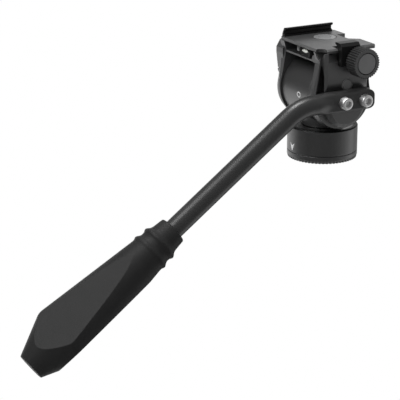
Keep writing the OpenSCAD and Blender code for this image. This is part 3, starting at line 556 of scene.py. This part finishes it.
def bent_bar():
    """Goes from the tip of the flattened end to the end of the tube, and back inside it."""
    stations = [arm_end(QUARTER * step / END_STEPS) for step in range(END_STEPS, -1, -1)]
    stations += [flat_to_round(step / EASE_STEPS) for step in range(EASE_STEPS + 1)]
    for step in range(1, BEND_STEPS + 1):
        lean = BAR_DROP * step / BEND_STEPS
        y, z = BEND_Y - BEND_R * math.sin(lean), AXIS_Z - BEND_R * (1 - math.cos(lean))
        stations.append((bar_frame(y, z, lean), round_ring(TUBE_R)))
    straight = bar_frame(-BAR_REACH, AXIS_Z, BAR_DROP)
    for along, radius in ((TUBE_END - TUBE_CHAMFER, TUBE_R), (TUBE_END, TUBE_R - TUBE_CHAMFER),
                          (TUBE_END, TUBE_R - TUBE_WALL), (BORE_END, TUBE_R - TUBE_WALL)):
        stations.append((straight @ Matrix.Translation((0, 0, along)), round_ring(radius)))
    return swept(stations, segments=144)


def drilled(bm, drills):
    """Cuts the drills out of a closed bmesh."""
    for part in (bm, drills):
        bmesh.ops.recalc_face_normals(part, faces=part.faces)
    block, bit = in_scene("block", bm), in_scene("bit", drills)
    cut = block.modifiers.new("holes", "BOOLEAN")
    cut.object = bit
    cut.operation = "DIFFERENCE"
    cut.solver = "EXACT"
    made = bmesh.new()
    made.from_object(block, bpy.context.evaluated_depsgraph_get())
    for passing in (block, bit):
        mesh = passing.data
        bpy.data.objects.remove(passing)
        bpy.data.meshes.remove(mesh)
    return made


drills = bmesh.new()
for side in (-1, 1):
    drill = turned([(x, round_ring(BOLT_HOLE_R)) for x in (DRILLED_FROM, DRILLED_TO)], segments=64)
    set_on(drill, (0, side * BOLT_AT, AXIS_Z), (1, 0, 0))
    join(drills, drill)
bar = drilled(bent_bar(), drills)
piece("bent_bar", bar, FINISHES["tube_grey"], "tilt", "pan_bar", crease=40)


# The rubber grip, with soft rings and three flats

GRIP_FROM = 141.2 * MM          # from the corner of the bend
GRIP_AT = bar_frame(-BAR_REACH, AXIS_Z, BAR_DROP) @ Matrix.Translation((0, 0, GRIP_FROM))
# Places along the grip and their radii, in millimetres
BORE = [(131.4, 8.0), (0.0, 8.0)]
COLLAR = [
    (0.0, 10.9), (0.25, 11.3), (0.9, 11.6), (8.5, 12.4), (10.5, 12.8), (12.2, 13.6), (13.4, 14.6),
    (14.3, 15.2), (15.1, 15.4), (15.9, 15.2), (16.7, 14.7), (17.6, 14.3), (18.8, 14.1), (20.2, 14.15),
    (21.6, 14.6), (22.9, 15.4), (23.8, 16.0), (24.6, 16.3), (25.4, 16.2), (26.3, 15.8), (27.2, 15.5),
    (28.5, 15.4),
]
COLLAR_END = 28.4               # the flats are cut beyond it
THICK_AT, THICK_MID, THICK_ROUND = 116.8, 13.2, 12.0    # middle and radius of the thickest arc
THICK_ARC = (-6, -2, 2, 6, 10, 14, 18, 22)
GRIP_END = [(150.8, 11.5), (151.2, 11.3), (151.4, 10.9)]
FLATS = (60, 180, 300)
FLAT_OUT = 16.9                 # from the middle to a flat, where the grip is thickest
FLAT_LEAN = math.radians(0.2)
FLAT_CORNERS = 20               # only the flats and the closed ends have more


def flat_cut(bm, angle):
    """Cuts one flat, which leans out a little towards the big end, and closes it."""
    turn = Matrix.Rotation(angle, 3, "Z")
    cut = [f for f in bm.faces if min(v.co.z for v in f.verts) > COLLAR_END * MM]
    around = cut + list({e for f in cut for e in f.edges}) + list({v for f in cut for v in f.verts})
    made = bmesh.ops.bisect_plane(
        bm, geom=around, dist=SAME_POINT, clear_outer=True,
        plane_co=turn @ Vector((FLAT_OUT * MM, 0, THICK_AT * MM)),
        plane_no=turn @ Vector((math.cos(FLAT_LEAN), 0, -math.sin(FLAT_LEAN))))["geom_cut"]
    bmesh.ops.edgeloop_fill(bm, edges=[g for g in made if isinstance(g, bmesh.types.BMEdge)])


def rubber_grip():
    """Goes up the bore, over the collar and along the flare to the big end."""
    profile = BORE + COLLAR
    for degrees in THICK_ARC:
        angle = math.radians(degrees)
        along = THICK_AT + THICK_ROUND * math.sin(angle)
        profile.append((along, THICK_MID + THICK_ROUND * math.cos(angle)))
    profile += GRIP_END
    bm = turned([(z * MM, round_ring(r * MM)) for z, r in profile], segments=144)
    for degrees in FLATS:
        flat_cut(bm, math.radians(degrees))
    bmesh.ops.transform(bm, matrix=GRIP_AT, verts=bm.verts)
    return bm


grip = piece("rubber_grip", rubber_grip(), FINISHES["grip_rubber"], "tilt", "grip")
flats = [face for face in grip.data.polygons if face.loop_total > FLAT_CORNERS]
flat_edges = {key for face in flats for key in face.edge_keys}
for edge in grip.data.edges:
    edge.use_edge_sharp = edge.use_edge_sharp or edge.key in flat_edges


# Teeth round the bottom of the base

TEETH = 60
# Inner and outer radius, width and height of a tooth's top and foot, in millimetres
TOOTH_TOP, TOOTH_FOOT = (28.2, 28.85, 1.5, 2.1), (26.8, 28.45, 1.7, 0.1)
teeth = bmesh.new()
for i in range(TEETH):
    tooth = bmesh.new()
    bmesh.ops.create_cube(tooth, size=1.0)
    for v in tooth.verts:
        inner, outer, width, height = TOOTH_TOP if v.co.z > 0 else TOOTH_FOOT
        radius = outer if v.co.x > 0 else inner
        v.co = (radius * MM, v.co.y * (width * MM), height * MM)
    turn = Matrix.Rotation(i * math.tau / TEETH, 3, "Z")
    bmesh.ops.rotate(tooth, verts=tooth.verts, matrix=turn)
    join(teeth, tooth)
piece("ring_teeth", teeth, FINISHES["cast_paint"], "base")


# The tripod bush with its thread, 16 turns to the inch

def threaded_bush():
    outer, bore, length, bevel, mouth = 7.0 * MM, 4.85 * MM, 11 * MM, 0.3 * MM, 0.5 * MM
    stations = [(bevel, outer), (0.0, outer - bevel), (0.0, bore + mouth), (mouth, bore),
                (length - bevel, bore), (length, bore + bevel), (length, outer), (bevel, outer)]
    bm = turned([(z, round_ring(r)) for z, r in stations], segments=96, closed=True)
    ridge = bmesh.new()
    pitch, crest, per_turn, turns = 25.4 / 16 * MM, 4.02 * MM, 48, 6
    root, start = bore + 0.1 * MM, 0.9 * MM
    corners = [(root, -0.72), (crest, -0.1), (crest, 0.1), (root, 0.72)]
    profile = [ridge.verts.new((x, 0, start + z * MM)) for x, z in corners]
    edges = [ridge.edges.new((profile[i], profile[(i + 1) % 4])) for i in range(4)]
    bmesh.ops.spin(ridge, geom=profile + edges, cent=(0, 0, 0), axis=(0, 0, 1),
                   dvec=(0, 0, pitch / per_turn), angle=math.tau * turns, steps=per_turn * turns)
    open_ends = [e for e in ridge.edges if len(e.link_faces) == 1]
    bmesh.ops.holes_fill(ridge, edges=open_ends, sides=4)
    bmesh.ops.recalc_face_normals(ridge, faces=ridge.faces)
    join(bm, ridge)
    return bm


bush = threaded_bush()
piece("threaded_bush", bush, FINISHES["brass_insert"], "base", "thread_insert")


# The level: a dark body with a pocket, a post at its left end, and a barrel-shaped vial with
# two lines

def bevelled_block(low, high, edge, pocket=None):
    """A block between two corners. A pocket is its margin and its depth, in the rear face."""
    low, high = Vector(low), Vector(high)
    bm = bmesh.new()
    bmesh.ops.create_cube(bm, size=1.0)
    to_place = Matrix.Translation(middle(low, high)) @ Matrix.Diagonal((*(high - low), 1))
    bmesh.ops.transform(bm, matrix=to_place, verts=bm.verts)
    if pocket:
        margin, deep = pocket
        rear = min(bm.faces, key=lambda face: face.calc_center_median().y)
        bmesh.ops.inset_region(bm, faces=[rear], thickness=margin, use_even_offset=True)
        bmesh.ops.translate(bm, verts=rear.verts[:], vec=(0, deep, 0))
    bmesh.ops.bevel(bm, geom=bm.edges[:], offset=edge, affect="EDGES", segments=2, profile=0.5,
                    material=-1)
    return bm


hold_low, hold_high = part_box("level_holder")
POST_W = 4.0 * MM
POST_FOOT = hold_low.z * 0.55 + hold_high.z * 0.45      # a little below half way up
POST_PROUD = 0.3 * MM           # how far it stands out behind the body
BODY_EDGE, POST_EDGE = 0.3 * MM, 0.5 * MM
POCKET = (0.9 * MM, 2.2 * MM)
body_low = (hold_low.x + POST_W, hold_low.y + POST_PROUD, hold_low.z)
body = bevelled_block(body_low, hold_high, BODY_EDGE, POCKET)
piece("level_body", body, FINISHES["knob_plastic"], "tilt", "level_holder")
post_high = (hold_low.x + POST_W, hold_high.y, hold_high.z)
post = bevelled_block((hold_low.x, hold_low.y, POST_FOOT), post_high, POST_EDGE)
piece("level_post", post, FINISHES["cast_paint"], "tilt")

vial_low, vial_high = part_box("level_vial")
vial_mid = middle(vial_low, vial_high)
VIAL_R = (vial_high.z - vial_low.z) / 2
VIAL_SHARE = 0.84               # how much of the solid's length the barrel takes
VIAL_L = (vial_high.x - vial_low.x) * VIAL_SHARE
VIAL_AT = (vial_low.x, vial_mid.y, vial_mid.z)
# Half of the barrel, in shares of the vial's length and radius
BARREL = [(0.0, 0.26), (0.03, 0.42), (0.09, 0.56), (0.18, 0.66), (0.30, 0.73), (0.40, 0.76)]
LINES_AT, LINE_R = (0.36, 0.64), 0.765
# A line's section: millimetres along the vial, and shares of its radius
LINE_BAND = [(-0.12, -0.03), (-0.12, 0.01), (0.12, 0.01), (0.12, -0.03), (-0.12, -0.03)]

stations = [(share * VIAL_L, round_ring(r * VIAL_R)) for share, r in BARREL]
stations += [(VIAL_L - along, outline) for along, outline in reversed(stations)]
vial = turned(stations, segments=48)
set_on(vial, VIAL_AT, (1, 0, 0))
piece("spirit_vial", vial, FINISHES["vial"], "tilt", "level_vial", crease=60)
lines = bmesh.new()
for share in LINES_AT:
    band = [(VIAL_L * share + z * MM, round_ring((LINE_R + r) * VIAL_R)) for z, r in LINE_BAND]
    ring = turned(band, segments=48, closed=True)
    set_on(ring, VIAL_AT, (1, 0, 0))
    join(lines, ring)
piece("vial_lines", lines, FINISHES["seal_rubber"], "tilt")


# Printed marks: an arrow at the back of the pan drum and a ring on the tilt drum

PAN_DRUM_R, TILT_DRUM_R = 29 * MM, 26 * MM
PRINT_LIFT = 0.03 * MM
ARROW_HALF = [(0.0, 12.0), (3.2, 14.2), (0.0, 7.3)]     # across and up, in millimetres
ARROW_MID = (0, 0, 10 * MM)
RING_OUT, RING_IN = 2.75 * MM, 1.75 * MM
RING_X = 3.9 * MM
RING_DOWN = math.radians(1.5)
RING_SQUASH = 0.88              # its height by its width


def printed_arrow():
    """A notched arrow head that points down."""
    bm = bmesh.new()
    for side in (-1, 1):
        bm.faces.new([bm.verts.new((side * x * MM, 0, z * MM)) for x, z in ARROW_HALF])
    bmesh.ops.subdivide_edges(bm, edges=bm.edges[:], cuts=5, use_grid_fill=True)
    bmesh.ops.remove_doubles(bm, verts=bm.verts, dist=SAME_POINT)
    radius = PAN_DRUM_R + PRINT_LIFT
    for v in bm.verts:
        angle = v.co.x / PAN_DRUM_R
        v.co.x, v.co.y = radius * math.sin(angle), -radius * math.cos(angle)
    return bm


def printed_ring():
    bm = turned([(0.0, round_ring(r)) for r in (RING_OUT, RING_IN)], segments=64, closed=True)
    radius = TILT_DRUM_R + PRINT_LIFT
    for v in bm.verts:
        angle = RING_SQUASH * v.co.y / TILT_DRUM_R - RING_DOWN
        v.co = (RING_X + v.co.x, -radius * math.cos(angle), AXIS_Z + radius * math.sin(angle))
    return bm


def print_on(name, bm, away_from, body):
    """Makes an open print whose faces all turn away from a point."""
    made = piece(name, bm, WHITE, body)
    shown = bmesh.new()
    shown.from_mesh(made.data)
    shown.normal_update()
    inside = Vector(away_from)
    wrong = [f for f in shown.faces if f.normal.dot(f.calc_center_median() - inside) < 0]
    bmesh.ops.reverse_faces(shown, faces=wrong)
    shown.to_mesh(made.data)
    shown.free()


print_on("index_arrow", printed_arrow(), ARROW_MID, "pan")
print_on("index_ring", printed_ring(), (0, 0, AXIS_Z), "pan")


# Camera, floor and light

camera = bpy.data.objects.new("camera", bpy.data.cameras.new("camera"))
camera.data.sensor_width = 36
camera.data.lens = 157.5
camera.data.clip_start = 0.01
camera.location = (1.1730, -0.7565, 0.4118)
camera.rotation_euler = (math.radians(72.03), 0, math.radians(61.33))
scene.collection.objects.link(camera)
scene.camera = camera

FLOOR_Z = -0.62
FADE_FROM, FADE_RISE = 0.45, 3.0    # distance from the middle, and how steeply it fades there


def floor_material():
    """Pale floor. Under the object it keeps the shadow, and further out it fades into the white
    around it."""
    f = Finish("floor_pale", Roughness=0.9)
    mottle = f.noise(6.0, 2.0)
    f.set(Base_Color=f.mix(mottle, grey(0.90), grey(0.93)))
    here = f.add("ShaderNodeTexCoord", {}, {}, "Object")
    across = f.add("ShaderNodeVectorMath", {"operation": "LENGTH"}, {0: here}, "Value")
    fade = ((across - FADE_FROM) * FADE_RISE).clamped() * f.background_rays()
    glow = f.add("ShaderNodeEmission", {}, {"Color": (1, 1, 1, 1), "Strength": 1.0})
    both = f.add("ShaderNodeMixShader", {}, {0: fade, 1: Value(f, f.shader.outputs[0]), 2: glow})
    f.feed(f.tree.nodes["Material Output"].inputs["Surface"], both)
    return f.material


def stage_piece(name, bm, material):
    made = in_scene(name, bm)
    made.data.materials.append(material)
    return made


ground = bmesh.new()
bmesh.ops.create_circle(ground, cap_ends=True, segments=96, radius=3.0)
bmesh.ops.translate(ground, verts=ground.verts, vec=(0, 0, FLOOR_Z))
stage_piece("floor", ground, floor_material())

# The dark side of the studio: grey cloth over the camera's side and overhead, which only
# reflections see. It glows instead of being lit, so its grey is painted light. It is open behind
# the object, where the white sweep stands, but for a flag of the same cloth low down in the
# opening. Directions are given from the sweep's middle.
ROOM_R = 2.4
ROOM_Z = 0.05
SWEEP_TO = math.radians(145)
SWEEP_ENDS = (math.radians(-105), math.radians(93))
SWEEP_TOP = math.radians(25)
SWEEP_FALL = 0.52               # how much lower the opening is towards its ends
FLAG_ENDS = (math.radians(-60), math.radians(12))
FLAG_TOP = math.radians(-6)
CLOTH_FOOT = FLOOR_Z + 0.02


def glowing_cloth():
    f = Finish("glowing_cloth", Roughness=0.9)
    here = f.add("ShaderNodeSeparateXYZ", {}, {0: f.place()}, "Y")
    # Painted light: the cloth glows, brighter towards +Y, instead of being lit by the lamps.
    far_side_glow = (here * 0.5 + (f.noise(3.0, 2.0) - 0.5) * 0.2).clamped()
    f.set(Base_Color=grey(0.0), Emission_Strength=1.0)
    f.set(Emission_Color=f.mix(far_side_glow, grey(0.14), grey(0.40)))
    return f.material


def toward_sweep(place):
    """Whether a place on the cloth is in the opening."""
    away = (math.atan2(place.y, place.x) - SWEEP_TO + math.pi) % math.tau - math.pi
    lift = math.asin(place.normalized().z)
    flagged = FLAG_ENDS[0] < away < FLAG_ENDS[1] and lift < FLAG_TOP
    below_top = lift < SWEEP_TOP - SWEEP_FALL * abs(away)
    return SWEEP_ENDS[0] < away < SWEEP_ENDS[1] and below_top and not flagged


room = bmesh.new()
bmesh.ops.create_uvsphere(room, u_segments=90, v_segments=60, radius=ROOM_R)
opening = [f for f in room.faces if toward_sweep(f.calc_center_median())]
bmesh.ops.delete(room, geom=opening, context="FACES")
bmesh.ops.translate(room, verts=room.verts, vec=(0, 0, ROOM_Z))
for v in room.verts:
    if v.co.z < CLOTH_FOOT:
        share = (CLOTH_FOOT - ROOM_Z) / (v.co.z - ROOM_Z)
        v.co = (v.co.x * share, v.co.y * share, CLOTH_FOOT)
cloth = stage_piece("grey_cloth", room, glowing_cloth())
cloth.visible_camera = False
cloth.visible_diffuse = False
cloth.visible_transmission = False
cloth.visible_shadow = False

scene.view_settings.view_transform = "Standard"

world = bpy.data.worlds.new("studio")
scene.world = world
world.use_nodes = True
sky = Nodes(world.node_tree)
white = sky.add("ShaderNodeBackground", {}, {"Color": (1, 1, 1, 1), "Strength": 1.0})
fill = sky.add("ShaderNodeBackground", {}, {"Color": (0.98, 0.99, 1.0, 1), "Strength": 0.26})
light = sky.add("ShaderNodeMixShader", {}, {0: sky.background_rays(), 1: fill, 2: white})
sky.feed(world.node_tree.nodes["World Output"].inputs["Surface"], light)


def softbox(name, place, aim, size, power):
    """A square area lamp that points at the object."""
    data = bpy.data.lights.new(name, "AREA")
    data.size = size
    data.energy = power
    lamp = bpy.data.objects.new(name, data)
    lamp.location = place
    lamp.rotation_euler = (Vector(aim) - Vector(place)).to_track_quat("-Z", "Y").to_euler()
    scene.collection.objects.link(lamp)


HEAD = (0, 0, 0.05)
softbox("softbox_above", (-0.2, -0.1, 1.4), HEAD, size=0.6, power=12)
softbox("softbox_behind", (0.13, -1.12, 1.1), HEAD, size=0.9, power=13)
